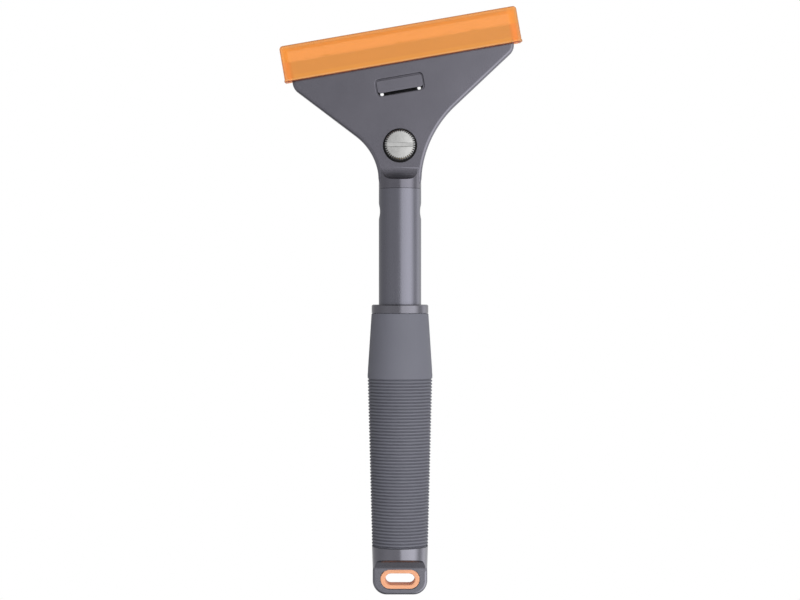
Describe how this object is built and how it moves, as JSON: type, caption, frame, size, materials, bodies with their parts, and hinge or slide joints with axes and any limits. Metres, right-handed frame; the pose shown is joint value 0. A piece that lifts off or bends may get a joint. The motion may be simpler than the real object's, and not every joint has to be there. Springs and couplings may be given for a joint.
{
  "type": "window scraper",
  "caption": "Long-handled window and tile scraper: tilted wide blade clamped in a die-cast head by a thumb screw, with a pull-off blade guard and a ribbed rubber grip.",
  "frame": {"origin": "on the handle's axis, at the middle of the ribbed grip, where a hand holds it", "axes": "+Z along the handle towards the blade, -Y out of the head's front face, where the thumb screw is, +X to the right seen from the front"},
  "size_m": [0.1086, 0.0292, 0.2636],
  "materials": {
    "casting": "grey, satin, fine cast surface",
    "tube": "grey anodised, smooth satin",
    "clamp_plate": "grey coated sheet steel",
    "pins": "bright",
    "thumb_screw": "bright nickel, knurled",
    "bush": "turned",
    "blade": "opaque white ceramic, ground edge",
    "guard": "translucent orange",
    "core": "grey, glossy",
    "sleeve": "grey, matte, ribbed",
    "ring": "orange"
  },
  "bodies": {
    "handle": {"head_body": "casting", "handle_tube": "tube", "blade_pin_left": "pins", "blade_pin_middle": "pins", "blade_pin_right": "pins", "threaded_bush": "bush", "grip_core": "core", "grip_sleeve": "sleeve", "hang_ring": "ring"},
    "screw_pad": {"screw_pad": "bush"},
    "thumb_screw": {"thumb_screw": "thumb_screw"},
    "clamp_plate": {"clamp_plate": "clamp_plate"},
    "blade": {"blade": "blade"},
    "blade_guard": {"blade_guard": "guard"}
  },
  "joints": [
    {"name": "screw_feed", "type": "slide", "parent": "handle", "child": "screw_pad", "axis": [0, -1, 0], "range_m": [0, 0.00125]},
    {"name": "screw_turn", "type": "hinge", "parent": "screw_pad", "child": "thumb_screw", "pos_m": [0, -0.0068, 0.1428], "axis": [0, -1, 0], "range_deg": [0, 450]},
    {"name": "clamp_rock", "type": "hinge", "parent": "handle", "child": "clamp_plate", "pos_m": [-0.00017, -0.00245, 0.16991], "axis": [-0.9852, 0, -0.1712], "range_deg": [0, 2.68]},
    {"name": "blade_pull", "type": "slide", "parent": "handle", "child": "blade", "axis": [-0.1712, 0, 0.9852], "range_m": [0, 0.02]},
    {"name": "guard_pull", "type": "slide", "parent": "blade", "child": "blade_guard", "axis": [-0.1712, 0, 0.9852], "range_m": [0, 0.022]}
  ],
  "couplings": [
    {"joint": "screw_turn", "follows": "screw_feed", "rad_per_m": 6283.2},
    {"joint": "clamp_rock", "follows": "screw_feed", "rad_per_m": 37.4}
  ]
}
